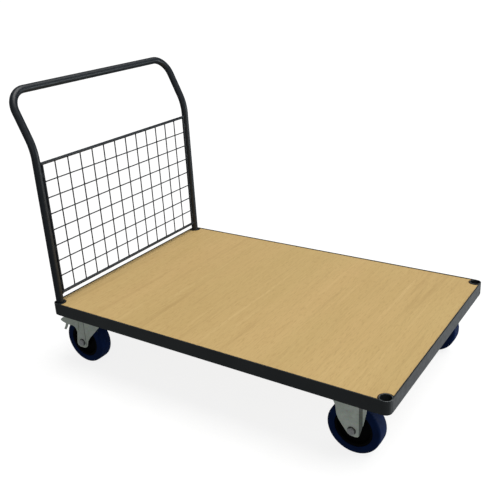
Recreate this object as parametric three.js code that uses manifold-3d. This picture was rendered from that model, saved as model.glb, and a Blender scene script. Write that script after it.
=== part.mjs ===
// Platform trolley: a laminated deck board in a steel angle frame, a lift-out tubular push end
// with a welded wire mesh, two braked swivel castors under the push end and two fixed castors
// under the free end.
// Millimetres, +Z up. The floor is Z = 0, the push end is at -X and the free end at +X.
// "near" is the -Y side and "far" is the +Y side.

import * as THREE from 'three';
import { mergeVertices } from 'three/addons/utils/BufferGeometryUtils.js';
import Module from 'manifold-3d';

const wasm = await Module();
wasm.setup();

// ---------------------------------------------------------------- driving dimensions

const GAP = 0.3; // air between pieces that touch

const FRAME_LENGTH = 1200;
const FRAME_WIDTH = 790;
const CASTOR_HEIGHT = 200; // floor to the underside of the frame
const ANGLE_SIZE = 40;
const ANGLE_THICKNESS = 4;

const BEARER_HEIGHT = 20;
const BEARER_WIDTH = 40;
const BEARER_WALL = 2;
const BEARER_SPACING = 300;

const BOARD_THICKNESS = 16;
const BOARD_CLEARANCE = 0.5;

const SOCKET_R = 18.5;
const SOCKET_BORE_R = 16;
const BOARD_NOTCH_R = 21.7;

const TUBE_R = 12.5;
const TUBE_WALL = 2;
const TUBE_INSET = 20; // upright's axis, in from the frame's side
const LEAN_START = 484; // height above the deck where the uprights begin to lean out
const LEAN_ANGLE = THREE.MathUtils.degToRad(25.3);
const LEAN_R = 165;
const LEAN_LENGTH = 151.5; // straight stretch from the lean bend to the crossbar's axis
const CORNER_R = 64;

const CUP_FLOOR = 3;
const CUP_TOP_DROP = 4; // the cup stays this far below the socket's mouth

const MESH_RAIL_R = 5;
const MESH_ROD_R = 4;
const MESH_WIRE_R = 2;
const MESH_TOP = 472.6; // axis of the top rail above the deck
const MESH_BOTTOM = 31;
const MESH_COLUMNS = 13;
const MESH_ROWS = 8;
const MESH_ROW_PITCH = 54.1; // the outer rows of cells are taller, up to the rails
const MESH_ROD_INSET = 38; // side rod's axis, in from the frame's side
const MESH_PLANE = 2.7; // mesh plane, from the uprights' axes towards the deck
const MESH_WIRE_OFFSET = 1.6; // upright and level wires lie either side of the mesh plane

const WHEEL_R = 80;
const TYRE_HALF_WIDTH = 25;
const TYRE_BORE_R = 57;
const HUB_HALF_LENGTH = 29;
const HUB_R = 19;
const HUB_BORE_R = 8.4;
const SLEEVE_R = 8;
const BOLT_R = 6;
const BOLT_CLEARANCE = 0.3;
const BOLT_HEAD_ACROSS_FLATS = 19;
const BOLT_HEAD_HEIGHT = 7.5;
const NUT_HEIGHT = 10;

const WHEEL_INSET = 85; // wheel's middle plane, in from the frame's side
const PLATE_LENGTH = 140;
const PLATE_WIDTH = 110;
const PLATE_THICKNESS = 4;
const PLATE_CORNER_R = 12;
const PLATE_HOLES_X = 105;
const PLATE_HOLES_Y = 80;
const PLATE_HOLE_R = 4.5;
const CHANNEL_WIDTH = 128.8;

const LEG_INNER = 30; // wheel's middle plane to the fork leg's inner face
const LEG_THICKNESS = 3;

const SWIVEL_INSET = 107.5; // king bolt, in from the push end
const SWIVEL_TRAIL = 48; // axle behind the king bolt
const FORK_CREASE = 17; // the fork's legs are folded along this upright line, ahead of the axle
const CROWN_R = 52;
const CROWN_TOP = 98; // above the axle
const RACE_R = 36;
const RACE_RIDGE_R = 30;
const KING_HEAD_R = 14;

const FIXED_INSET = 127; // fixed axle, in from the free end
const FIXED_PLATE_SHIFT = -8; // middle of the fixed plate from the axle
const BRACKET_CREASE = 22;
const BRACKET_SUNK = 4; // depth of the bracket's front flange below its leg

const BRAKE_PIVOT = new THREE.Vector2(-14, 88); // from the axle
const BRAKE_PIN_R = 4;
const CHEEK_THICKNESS = 2.8;
const SHOE_GAP = 6; // shoe to tyre with the brake off

// ---------------------------------------------------------------- derived places

const DECK_UNDERSIDE = CASTOR_HEIGHT + ANGLE_THICKNESS + GAP + BEARER_HEIGHT + GAP;
const DECK_TOP = DECK_UNDERSIDE + BOARD_THICKNESS;
const FRAME_TOP = CASTOR_HEIGHT + ANGLE_SIZE;

const LEAN_ARC = LEAN_R * LEAN_ANGLE;
const CROSSBAR_TRAVEL = LEAN_START + LEAN_ARC + LEAN_LENGTH; // along an upright, from the deck
const LEAN_REACH = LEAN_R * (1 - Math.cos(LEAN_ANGLE)) + LEAN_LENGTH * Math.sin(LEAN_ANGLE);
const OVERHANG = LEAN_REACH + TUBE_R - SOCKET_R; // push bar beyond the frame's end

// The frame is shifted so that X = 0 is halfway along the whole trolley.
const PUSH_END_X = (OVERHANG - FRAME_LENGTH) / 2;
const FREE_END_X = PUSH_END_X + FRAME_LENGTH;
const SIDE_Y = FRAME_WIDTH / 2;

const SOCKET_Y = SIDE_Y - SOCKET_R;
const TUBE_Y = SIDE_Y - TUBE_INSET;
const PUSH_SOCKET_X = PUSH_END_X + SOCKET_R;
const MESH_X = PUSH_SOCKET_X + MESH_PLANE;
const FREE_SOCKET_X = FREE_END_X - SOCKET_R;
const CUP_FLOOR_TOP = CASTOR_HEIGHT + GAP + CUP_FLOOR;

const WHEEL_Y = SIDE_Y - WHEEL_INSET;
const KING_X = PUSH_END_X + SWIVEL_INSET;
const SWIVEL_AXLE_X = KING_X - SWIVEL_TRAIL;
const FIXED_AXLE_X = FREE_END_X - FIXED_INSET;
const FIXED_PLATE_X = FIXED_AXLE_X + FIXED_PLATE_SHIFT;
const PLATE_TOP = CASTOR_HEIGHT - GAP - WHEEL_R; // above the axle
const PLATE_BOTTOM = PLATE_TOP - PLATE_THICKNESS;
const LEG_OUTER = LEG_INNER + LEG_THICKNESS;

const SIDES = [['near', -1], ['far', 1]];

// ---------------------------------------------------------------- materials

function finish(color, roughness, metalness) {
  return new THREE.MeshStandardMaterial({ color, roughness, metalness });
}

const POWDER_COAT = finish(0x2a2e31, 0.45, 0.3);
const LAMINATE = finish(0xc8a66a, 0.5, 0);
const ZINC = finish(0x9aa098, 0.4, 0.9);
const BLUE_RUBBER = finish(0x14245a, 0.7, 0);
const BLACK_NYLON = finish(0x0e1012, 0.6, 0);
const BLACK_PLASTIC = finish(0x121314, 0.55, 0);

// ---------------------------------------------------------------- solids and booleans

function solid(geometry) {
  const bare = geometry.clone();
  bare.deleteAttribute('normal');
  bare.deleteAttribute('uv');
  const merged = mergeVertices(bare);
  return new wasm.Manifold(new wasm.Mesh({
    numProp: 3,
    vertProperties: Float32Array.from(merged.attributes.position.array),
    triVerts: Uint32Array.from(merged.index.array),
  }));
}

function geometryOf(manifold) {
  const mesh = manifold.getMesh();
  const geometry = new THREE.BufferGeometry();
  geometry.setAttribute('position', new THREE.BufferAttribute(mesh.vertProperties, 3));
  geometry.setIndex(new THREE.BufferAttribute(mesh.triVerts, 1));
  geometry.computeVertexNormals();
  return geometry;
}

function join(...geometries) {
  return geometryOf(geometries.map(solid).reduce((whole, next) => whole.add(next)));
}

function cut(geometry, ...tools) {
  return geometryOf(tools.map(solid).reduce((rest, tool) => rest.subtract(tool), solid(geometry)));
}

function box(low, high) {
  const size = high.map((value, axis) => value - low[axis]);
  const middle = high.map((value, axis) => (value + low[axis]) / 2);
  return new THREE.BoxGeometry(...size).translate(...middle);
}

function rodAlongY(radius, length, sides = 20) {
  return new THREE.CylinderGeometry(radius, radius, length, sides);
}

function rodAlongZ(radius, low, high, sides = 32) {
  const rod = new THREE.CylinderGeometry(radius, radius, high - low, sides);
  return rod.rotateX(Math.PI / 2).translate(0, 0, (low + high) / 2);
}

function ringAlongZ(outer, inner, low, high, sides = 32) {
  const profile = [[inner, low], [outer, low], [outer, high], [inner, high], [inner, low]];
  return turned(profile, sides).rotateX(Math.PI / 2);
}

// A closed profile of [radius, height] points, counter-clockwise, turned about Y.
function turned(profile, sides) {
  return new THREE.LatheGeometry(profile.map(([r, y]) => new THREE.Vector2(r, y)), sides);
}

function shapeOf(points) {
  return new THREE.Shape(points.map(([x, y]) => new THREE.Vector2(x, y)));
}

// An outline in the XZ plane given a thickness along Y, from y = start.
function sheetFacingY(shape, start, thickness, curveSegments = 8) {
  const sheet = new THREE.ExtrudeGeometry(shape, { depth: thickness, bevelEnabled: false, curveSegments });
  return sheet.rotateX(Math.PI / 2).translate(0, start + thickness, 0);
}

// An outline in the XY plane given a thickness along Z, from z = start.
function sheetFacingZ(shape, start, thickness, curveSegments = 8) {
  const sheet = new THREE.ExtrudeGeometry(shape, { depth: thickness, bevelEnabled: false, curveSegments });
  return sheet.translate(0, 0, start);
}

function hexAlongY(acrossFlats, height) {
  return new THREE.CylinderGeometry(acrossFlats / Math.sqrt(3), acrossFlats / Math.sqrt(3), height, 6);
}

function place(parent, name, geometry, material, position = [0, 0, 0]) {
  const mesh = new THREE.Mesh(geometry, material);
  mesh.name = name;
  mesh.position.set(...position);
  parent.add(mesh);
}

const trolley = new THREE.Group();

// ---------------------------------------------------------------- angle frame

function cornerCutters() {
  const cutters = [];
  for (const x of [PUSH_SOCKET_X, FREE_SOCKET_X]) {
    for (const y of [-SOCKET_Y, SOCKET_Y]) {
      cutters.push(rodAlongZ(SOCKET_R + GAP, CASTOR_HEIGHT - 1, FRAME_TOP + 1, 32).translate(x, y, 0));
    }
  }
  return cutters;
}

// An angle with its upright leg outside and its level leg turned in at the bottom. The level
// leg stops for the castor channels, which reach the upright leg.
function sideRail(side) {
  const outer = side * SIDE_Y;
  const inner = side * (SIDE_Y - ANGLE_THICKNESS);
  const tip = side * (SIDE_Y - ANGLE_SIZE);
  const upright = box(
    [PUSH_SOCKET_X, Math.min(outer, inner), CASTOR_HEIGHT],
    [FREE_SOCKET_X, Math.max(outer, inner), FRAME_TOP],
  );
  const level = box(
    [PUSH_END_X + ANGLE_SIZE + GAP, Math.min(outer, tip), CASTOR_HEIGHT],
    [FREE_END_X - ANGLE_SIZE - GAP, Math.max(outer, tip), CASTOR_HEIGHT + ANGLE_THICKNESS],
  );
  const halfChannel = CHANNEL_WIDTH / 2 + GAP;
  const channelGaps = [KING_X, FIXED_PLATE_X].map((x) => box(
    [x - halfChannel, Math.min(inner, tip) - 1, CASTOR_HEIGHT - 1],
    [x + halfChannel, Math.max(inner, tip) + 1, CASTOR_HEIGHT + ANGLE_THICKNESS + 1],
  ));
  return cut(join(cut(level, ...channelGaps), upright), ...cornerCutters());
}

function endRail(direction, endX) {
  const inner = endX - direction * ANGLE_THICKNESS;
  const tip = endX - direction * ANGLE_SIZE;
  const upright = box(
    [Math.min(endX, inner), -SOCKET_Y, CASTOR_HEIGHT],
    [Math.max(endX, inner), SOCKET_Y, FRAME_TOP],
  );
  const level = box(
    [Math.min(endX, tip), -SOCKET_Y, CASTOR_HEIGHT],
    [Math.max(endX, tip), SOCKET_Y, CASTOR_HEIGHT + ANGLE_THICKNESS],
  );
  return cut(join(upright, level), ...cornerCutters());
}

function cornerSocket() {
  return ringAlongZ(SOCKET_R, SOCKET_BORE_R, CASTOR_HEIGHT, FRAME_TOP);
}

// A channel with its web down, which carries two castor plates and holds up the board.
function castorChannel(x) {
  const half = CHANNEL_WIDTH / 2;
  const wallIn = half - ANGLE_THICKNESS;
  const webTop = CASTOR_HEIGHT + ANGLE_THICKNESS;
  const top = webTop + BEARER_HEIGHT + GAP;
  const halfLength = SIDE_Y - ANGLE_THICKNESS - GAP;
  const section = shapeOf([
    [-half, CASTOR_HEIGHT], [half, CASTOR_HEIGHT], [half, top], [wallIn, top],
    [wallIn, webTop], [-wallIn, webTop], [-wallIn, top], [-half, top],
  ]);
  const channel = sheetFacingY(section, -halfLength, 2 * halfLength).translate(x, 0, 0);
  const holes = SIDES.flatMap(([, side]) => plateHoleDrills(CASTOR_HEIGHT - 1, webTop + 1)
    .map((drill) => drill.translate(x, side * WHEEL_Y, 0)));
  return cut(channel, ...holes);
}

// A rectangular tube lying on the side rails' level legs under the board.
function deckBearer() {
  const low = CASTOR_HEIGHT + ANGLE_THICKNESS + GAP;
  const halfLength = SIDE_Y - ANGLE_THICKNESS - GAP;
  const halfWidth = BEARER_WIDTH / 2;
  const wall = BEARER_WALL;
  const outside = box([-halfWidth, -halfLength, low], [halfWidth, halfLength, low + BEARER_HEIGHT]);
  const inside = box(
    [wall - halfWidth, -halfLength - 1, low + wall],
    [halfWidth - wall, halfLength + 1, low + BEARER_HEIGHT - wall],
  );
  return cut(outside, inside);
}

function deckBoard() {
  const edge = ANGLE_THICKNESS + BOARD_CLEARANCE;
  const board = box(
    [PUSH_END_X + edge, edge - SIDE_Y, DECK_UNDERSIDE],
    [FREE_END_X - edge, SIDE_Y - edge, DECK_TOP],
  );
  const notches = [PUSH_SOCKET_X, FREE_SOCKET_X].flatMap((x) => [-SOCKET_Y, SOCKET_Y].map((y) => (
    rodAlongZ(BOARD_NOTCH_R, DECK_UNDERSIDE - 1, DECK_TOP + 1, 32).translate(x, y, 0))));
  return cut(board, ...notches);
}

function buildFrame() {
  for (const [word, side] of SIDES) {
    place(trolley, `side_rail_${word}`, sideRail(side), POWDER_COAT);
    for (const [end, x] of [['push', PUSH_SOCKET_X], ['free', FREE_SOCKET_X]]) {
      place(trolley, `corner_socket_${end}_${word}`, cornerSocket(), POWDER_COAT, [x, side * SOCKET_Y, 0]);
    }
  }
  place(trolley, 'end_rail_push', endRail(-1, PUSH_END_X), POWDER_COAT);
  place(trolley, 'end_rail_free', endRail(1, FREE_END_X), POWDER_COAT);
  place(trolley, 'castor_channel_push', castorChannel(KING_X), POWDER_COAT);
  place(trolley, 'castor_channel_free', castorChannel(FIXED_PLATE_X), POWDER_COAT);
  const middle = (KING_X + FIXED_PLATE_X) / 2;
  place(trolley, 'deck_bearer_push', deckBearer(), POWDER_COAT, [middle - BEARER_SPACING / 2, 0, 0]);
  place(trolley, 'deck_bearer_free', deckBearer(), POWDER_COAT, [middle + BEARER_SPACING / 2, 0, 0]);
  place(trolley, 'deck_board', deckBoard(), LAMINATE);
}

// ---------------------------------------------------------------- push end

// A path through given stations. Each station is one step of the sweep, so straight stretches
// need no steps of their own.
class StationPath extends THREE.Curve {
  constructor(stations) {
    super();
    this.stations = stations;
  }

  getPoint(t, target = new THREE.Vector3()) {
    const station = Math.min(Math.max(t, 0), 1) * (this.stations.length - 1);
    const index = Math.min(Math.floor(station), this.stations.length - 2);
    return target.lerpVectors(this.stations[index], this.stations[index + 1], station - index);
  }

  getPointAt(u, target) {
    return this.getPoint(u, target);
  }

  getTangentAt(u, target) {
    return this.getTangent(u, target);
  }
}

// A point on the push end's bent surface: y across, travel up along the uprights from the deck.
function leaning(y, travel) {
  const bent = THREE.MathUtils.clamp((travel - LEAN_START) / LEAN_R, 0, LEAN_ANGLE);
  const straight = Math.max(0, travel - LEAN_START - LEAN_ARC);
  const x = LEAN_R * (1 - Math.cos(bent)) + straight * Math.sin(LEAN_ANGLE);
  const rise = Math.min(travel, LEAN_START) + LEAN_R * Math.sin(bent) + straight * Math.cos(LEAN_ANGLE);
  return new THREE.Vector3(PUSH_SOCKET_X - x, y, DECK_TOP + rise);
}

function pushTube() {
  const leanSteps = 4;
  const cornerSteps = 6;
  const foot = CUP_FLOOR_TOP + GAP - DECK_TOP;
  const half = [leaning(-TUBE_Y, foot)];
  for (let step = 0; step <= leanSteps; step += 1) {
    half.push(leaning(-TUBE_Y, LEAN_START + (LEAN_ARC * step) / leanSteps));
  }
  for (let step = 0; step <= cornerSteps; step += 1) {
    const turn = (Math.PI / 2) * (step / cornerSteps);
    half.push(leaning(
      CORNER_R * (1 - Math.cos(turn)) - TUBE_Y,
      CROSSBAR_TRAVEL - CORNER_R * (1 - Math.sin(turn)),
    ));
  }
  const otherHalf = half.map((point) => new THREE.Vector3(point.x, -point.y, point.z)).reverse();
  const stations = [...half, ...otherHalf];
  const section = new THREE.Shape();
  section.absarc(0, 0, TUBE_R, 0, 2 * Math.PI);
  const hollow = new THREE.Path();
  hollow.absarc(0, 0, TUBE_R - TUBE_WALL, 0, 2 * Math.PI);
  section.holes.push(hollow);
  return new THREE.ExtrudeGeometry(section, {
    extrudePath: new StationPath(stations),
    steps: stations.length - 1,
    curveSegments: 9,
  });
}

// Welded mesh: upright and level wires joined where they cross, kept clear of the rails and rods.
function meshGrid(rodY) {
  const columnPitch = (2 * rodY) / MESH_COLUMNS;
  const wireHeight = MESH_TOP - MESH_BOTTOM - 2 * (MESH_RAIL_R + GAP);
  const wireWidth = 2 * (rodY - MESH_ROD_R - GAP);
  const wires = [];
  for (let column = 1; column < MESH_COLUMNS; column += 1) {
    const wire = new THREE.CylinderGeometry(MESH_WIRE_R, MESH_WIRE_R, wireHeight, 6).rotateX(Math.PI / 2);
    wires.push(wire.translate(-MESH_WIRE_OFFSET, column * columnPitch - rodY, 0));
  }
  for (let row = 1; row < MESH_ROWS; row += 1) {
    const wire = rodAlongY(MESH_WIRE_R, wireWidth, 6);
    wires.push(wire.translate(MESH_WIRE_OFFSET, 0, (row - MESH_ROWS / 2) * MESH_ROW_PITCH));
  }
  return join(...wires);
}

// A plug in the socket with a blind hole for the upright, off centre towards the mesh.
function footCup(side) {
  const high = FRAME_TOP - CUP_TOP_DROP;
  const plug = rodAlongZ(SOCKET_BORE_R - GAP, CASTOR_HEIGHT + GAP, high, 32);
  const hole = rodAlongZ(TUBE_R + GAP, CUP_FLOOR_TOP, high + 1, 32);
  return cut(plug, hole.translate(0, side * (TUBE_Y - SOCKET_Y), 0));
}

function buildPushEnd() {
  const rodY = SIDE_Y - MESH_ROD_INSET;
  const railLength = 2 * (TUBE_Y - TUBE_R - GAP);
  const meshMiddle = DECK_TOP + (MESH_TOP + MESH_BOTTOM) / 2;
  const rodReach = (MESH_TOP - MESH_BOTTOM) / 2 - MESH_RAIL_R - GAP;
  place(trolley, 'push_tube', pushTube(), POWDER_COAT);
  for (const [word, height] of [['top', MESH_TOP], ['bottom', MESH_BOTTOM]]) {
    place(trolley, `mesh_${word}_rail`, rodAlongY(MESH_RAIL_R, railLength, 16), POWDER_COAT,
      [MESH_X, 0, DECK_TOP + height]);
  }
  for (const [word, side] of SIDES) {
    place(trolley, `mesh_side_rod_${word}`, rodAlongZ(MESH_ROD_R, -rodReach, rodReach, 12), POWDER_COAT,
      [MESH_X, side * rodY, meshMiddle]);
    place(trolley, `foot_cup_${word}`, footCup(side), BLACK_PLASTIC, [PUSH_SOCKET_X, side * SOCKET_Y, 0]);
  }
  place(trolley, 'mesh_grid', meshGrid(rodY), POWDER_COAT, [MESH_X, 0, meshMiddle]);
}

// ---------------------------------------------------------------- castor parts
// Castor pieces are drawn from the axle's middle: X ahead, Y along the axle, Z up.

function plateHoleDrills(low, high) {
  return [-1, 1].flatMap((i) => [-1, 1].map((j) => (
    rodAlongZ(PLATE_HOLE_R, low, high, 12).translate((i * PLATE_HOLES_X) / 2, (j * PLATE_HOLES_Y) / 2, 0))));
}

function castorPlate(middleX) {
  const x = PLATE_LENGTH / 2 - PLATE_CORNER_R;
  const y = PLATE_WIDTH / 2 - PLATE_CORNER_R;
  const outline = new THREE.Shape();
  outline.absarc(x, y, PLATE_CORNER_R, 0, Math.PI / 2);
  outline.absarc(-x, y, PLATE_CORNER_R, Math.PI / 2, Math.PI);
  outline.absarc(-x, -y, PLATE_CORNER_R, Math.PI, 1.5 * Math.PI);
  outline.absarc(x, -y, PLATE_CORNER_R, 1.5 * Math.PI, 2 * Math.PI);
  const plate = sheetFacingZ(outline, PLATE_BOTTOM, PLATE_THICKNESS, 3);
  const drilled = cut(plate, ...plateHoleDrills(PLATE_BOTTOM - 1, PLATE_TOP + 1));
  return drilled.translate(middleX, 0, 0);
}

// The swivel plate has a race pressed down from it: a ring whose lower ridge runs on the balls.
function swivelPlate() {
  const ridgeLow = CROWN_TOP + 8;
  const race = turned([
    [RACE_RIDGE_R, PLATE_BOTTOM + 1], [RACE_RIDGE_R, ridgeLow], [RACE_R, ridgeLow],
    [RACE_R + 4, PLATE_BOTTOM + 1], [RACE_RIDGE_R, PLATE_BOTTOM + 1],
  ], 24).rotateX(Math.PI / 2).translate(SWIVEL_TRAIL, 0, 0);
  return join(castorPlate(SWIVEL_TRAIL), race);
}

function ballRing() {
  const low = CROWN_TOP + GAP;
  const high = CROWN_TOP + 8 - GAP;
  return ringAlongZ(RACE_R, RACE_RIDGE_R, low, high, 24).translate(SWIVEL_TRAIL, 0, 0);
}

function kingBolt() {
  const headTop = PLATE_BOTTOM - GAP;
  const headLow = CROWN_TOP + 3;
  const end = CROWN_TOP - 4 - NUT_HEIGHT - 2 * GAP - 2;
  const profile = [
    [0, end], [BOLT_R, end], [BOLT_R, headLow], [KING_HEAD_R, headLow], [KING_HEAD_R, headTop], [0, headTop],
  ];
  return turned(profile, 24).rotateX(Math.PI / 2).translate(SWIVEL_TRAIL, 0, 0);
}

function kingNut() {
  const low = CROWN_TOP - LEG_THICKNESS - NUT_HEIGHT - GAP;
  const nut = hexAlongY(BOLT_HEAD_ACROSS_FLATS, NUT_HEIGHT).rotateX(Math.PI / 2);
  nut.translate(0, 0, low + NUT_HEIGHT / 2);
  const hole = rodAlongZ(BOLT_R + BOLT_CLEARANCE, low - 1, low + NUT_HEIGHT + 1, 20);
  return cut(nut, hole).translate(SWIVEL_TRAIL, 0, 0);
}

// Two leg plates, each with a wing folded inward along the crease and perhaps a flange beyond it.
// The wing's outline is measured from the crease, and fold is its angle out of the leg's plane.
// The flange is parallel to the leg, sunk below it by the given depth.
function legPair(legOutline, wingOutline, crease, fold, flangeOutline = null, sunk = 0) {
  const start = -LEG_OUTER;
  const leg = sheetFacingY(shapeOf(legOutline), start, LEG_THICKNESS);
  const wing = sheetFacingY(shapeOf(wingOutline), 0, LEG_THICKNESS);
  wing.rotateZ(fold).translate(crease, start, 0);
  const sheets = [leg, wing];
  if (flangeOutline) sheets.push(sheetFacingY(shapeOf(flangeOutline), start + sunk, LEG_THICKNESS));
  const oneSide = join(...sheets);
  const otherSide = geometryOf(solid(oneSide).mirror([0, 1, 0]));
  return [oneSide, otherSide];
}

function axleDrill() {
  return rodAlongY(BOLT_R + BOLT_CLEARANCE, 2 * LEG_OUTER + 2);
}

function brakePinDrill() {
  const half = LEG_OUTER + GAP + CHEEK_THICKNESS + 1;
  return rodAlongY(BRAKE_PIN_R + GAP, 2 * half, 16).translate(BRAKE_PIVOT.x, 0, BRAKE_PIVOT.y);
}

function swivelFork() {
  const crownLow = CROWN_TOP - LEG_THICKNESS;
  const legTop = crownLow + 2;
  const leg = [
    [FORK_CREASE, -15], [FORK_CREASE, legTop], [0, legTop], [-14, legTop], [-23, 92], [-23, 78],
    [-17, 62], [-17, 42], [-20, 30], [-24, 9], [-27, -9], [-24, -17], [-15, -21], [4, -21], [12, -18.5],
  ];
  const wing = [
    [-1, -15], [0, -15], [4, -11], [8, 7], [15, 18], [22.5, 27], [44, 50.5], [75, 84], [75, legTop],
    [-1, legTop],
  ];
  const legs = legPair(leg, wing, FORK_CREASE, 0.105);
  const crown = rodAlongZ(CROWN_R, crownLow, CROWN_TOP, 32).translate(SWIVEL_TRAIL, 0, 0);
  const kingDrill = rodAlongZ(BOLT_R + 0.5, crownLow - 1, CROWN_TOP + 1, 20).translate(SWIVEL_TRAIL, 0, 0);
  return cut(join(crown, ...legs), kingDrill, axleDrill(), brakePinDrill());
}

function fixedBracket() {
  const legTop = PLATE_BOTTOM + 2;
  const leg = [
    [BRACKET_CREASE, -11], [BRACKET_CREASE, legTop], [-56, legTop], [-55, 79], [-49, 66], [-46, 40],
    [-41, 27], [-30, 10], [-19, -4], [-12, -13], [-5, -17], [10, -18], [18, -16],
  ];
  const wing = [[-1, -11], [0, -11], [2.6, -3], [5.6, 7], [9, 21], [9, legTop], [-1, legTop]];
  const flange = [[29, 20], [30.6, 21], [35, 40], [38, 57], [40.5, 79], [42, legTop], [29, legTop]];
  const legs = legPair(leg, wing, BRACKET_CREASE, Math.atan2(BRACKET_SUNK, 8), flange, BRACKET_SUNK);
  return cut(join(castorPlate(FIXED_PLATE_SHIFT), ...legs), axleDrill());
}

// Solid rubber tyre with rounded shoulders.
function tyre() {
  const shoulder = 6.5;
  const half = TYRE_HALF_WIDTH;
  const arcSteps = 2;
  const profile = [[TYRE_BORE_R, -half + 1]];
  for (const end of [-1, 1]) {
    for (let step = 0; step <= arcSteps; step += 1) {
      const turn = (Math.PI / 2) * (step / arcSteps);
      const lean = end < 0 ? Math.sin(turn) : Math.cos(turn);
      const rise = end < 0 ? Math.cos(turn) : Math.sin(turn);
      profile.push([WHEEL_R - shoulder + shoulder * lean, end * (half - shoulder + shoulder * rise)]);
    }
  }
  profile.push([TYRE_BORE_R, half - 1], [TYRE_BORE_R, -half + 1]);
  return turned(profile, 40);
}

function wheelCentre() {
  const rimR = TYRE_BORE_R - GAP;
  const half = [
    [HUB_BORE_R, HUB_HALF_LENGTH], [HUB_R, HUB_HALF_LENGTH], [HUB_R + 2, 9], [46, 7], [50, 20], [rimR, 22.5],
  ];
  const lower = half.map(([r, y]) => [r, -y]);
  return turned([...lower, ...half.reverse(), lower[0]], 24);
}

function axleSleeve() {
  const half = LEG_INNER - GAP;
  const inner = BOLT_R + BOLT_CLEARANCE;
  return turned([[inner, -half], [SLEEVE_R, -half], [SLEEVE_R, half], [inner, half], [inner, -half]], 24);
}

// The head is outboard, so the bolt is turned end for end on the far side.
function axleBolt(side) {
  const headStart = LEG_OUTER + GAP;
  const end = LEG_OUTER + GAP + NUT_HEIGHT + 3;
  const shank = rodAlongY(BOLT_R, headStart + end + 1).translate(0, (headStart + 1 - end) / 2, 0);
  const head = hexAlongY(BOLT_HEAD_ACROSS_FLATS, BOLT_HEAD_HEIGHT);
  head.translate(0, headStart + BOLT_HEAD_HEIGHT / 2, 0);
  const bolt = join(shank, head);
  return side > 0 ? bolt : bolt.rotateX(Math.PI);
}

function axleNut(side) {
  const nut = hexAlongY(BOLT_HEAD_ACROSS_FLATS, NUT_HEIGHT);
  const hole = rodAlongY(BOLT_R + BOLT_CLEARANCE, NUT_HEIGHT + 2);
  return cut(nut, hole).translate(0, -side * (LEG_OUTER + GAP + NUT_HEIGHT / 2), 0);
}

// Pressed pedal: a tread plate over the tyre with a cheek down each side of the fork, and a
// release hook under each cheek's tip.
function brakePedal() {
  const inner = LEG_OUTER + GAP;
  const outer = inner + CHEEK_THICKNESS;
  const cheek = shapeOf([
    [-6, 84], [-6, 92], [-16, 94], [-40, 91], [-75, 80.7], [-89, 70.5], [-91, 65.5], [-80, 61],
    [-67, 58], [-74, 43], [-80, 34], [-72, 32], [-64, 43], [-57, 57], [-46, 57], [-36, 58],
    [-28, 56.5], [-22, 52.5], [-18.5, 47], [-17, 41], [-15, 36], [-11, 42], [-8, 62],
  ]);
  const tread = shapeOf([[-36, 92.2], [-36, 89], [-74, 77.8], [-87.5, 68], [-89, 70.5], [-75, 80.7]]);
  const cheeks = [
    sheetFacingY(cheek, -outer, CHEEK_THICKNESS),
    sheetFacingY(cheek, inner, CHEEK_THICKNESS),
  ];
  return cut(join(sheetFacingY(tread, -outer, 2 * outer), ...cheeks), brakePinDrill());
}

function brakePin() {
  const half = LEG_OUTER + GAP + CHEEK_THICKNESS + 2;
  return rodAlongY(BRAKE_PIN_R, 2 * half, 16).translate(BRAKE_PIVOT.x, 0, BRAKE_PIVOT.y);
}

// A rubber block under the tread plate, hollowed to the tyre's curve.
function brakeShoe() {
  const halfWidth = 14;
  const block = shapeOf([[-44, 60], [-44, 86.4 - GAP], [-66, 79.9 - GAP], [-66, 44], [-56, 44]]);
  const curve = rodAlongY(WHEEL_R + SHOE_GAP, 2 * halfWidth + 2, 64);
  return cut(sheetFacingY(block, -halfWidth, 2 * halfWidth), curve);
}

// ---------------------------------------------------------------- castors

function buildWheel(castor, name, side) {
  place(castor, `${name}_tyre`, tyre(), BLUE_RUBBER);
  place(castor, `${name}_wheel_centre`, wheelCentre(), BLACK_NYLON);
  place(castor, `${name}_axle_sleeve`, axleSleeve(), ZINC);
  place(castor, `${name}_axle_bolt`, axleBolt(side), ZINC);
  place(castor, `${name}_axle_nut`, axleNut(side), ZINC);
}

function buildSwivelCastor(word, side) {
  const castor = new THREE.Group();
  const name = `swivel_${word}`;
  castor.position.set(SWIVEL_AXLE_X, side * WHEEL_Y, WHEEL_R);
  place(castor, `${name}_plate`, swivelPlate(), ZINC);
  place(castor, `${name}_ball_ring`, ballRing(), ZINC);
  place(castor, `${name}_king_bolt`, kingBolt(), ZINC);
  place(castor, `${name}_king_nut`, kingNut(), ZINC);
  place(castor, `${name}_fork`, swivelFork(), ZINC);
  place(castor, `${name}_brake_pedal`, brakePedal(), ZINC);
  place(castor, `${name}_brake_pin`, brakePin(), ZINC);
  place(castor, `${name}_brake_shoe`, brakeShoe(), BLACK_PLASTIC);
  buildWheel(castor, name, side);
  trolley.add(castor);
}

function buildFixedCastor(word, side) {
  const castor = new THREE.Group();
  const name = `fixed_${word}`;
  castor.position.set(FIXED_AXLE_X, side * WHEEL_Y, WHEEL_R);
  place(castor, `${name}_bracket`, fixedBracket(), ZINC);
  buildWheel(castor, name, side);
  trolley.add(castor);
}

buildFrame();
buildPushEnd();
for (const [word, side] of SIDES) {
  buildSwivelCastor(word, side);
  buildFixedCastor(word, side);
}

export default trolley;
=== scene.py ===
"""Platform trolley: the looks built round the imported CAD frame.

Metres, +Z up. The push end is at -X and the free end at +X, near is -Y and far is +Y.
"""

import math

import bmesh
import bpy
from mathutils import Matrix, Vector


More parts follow.
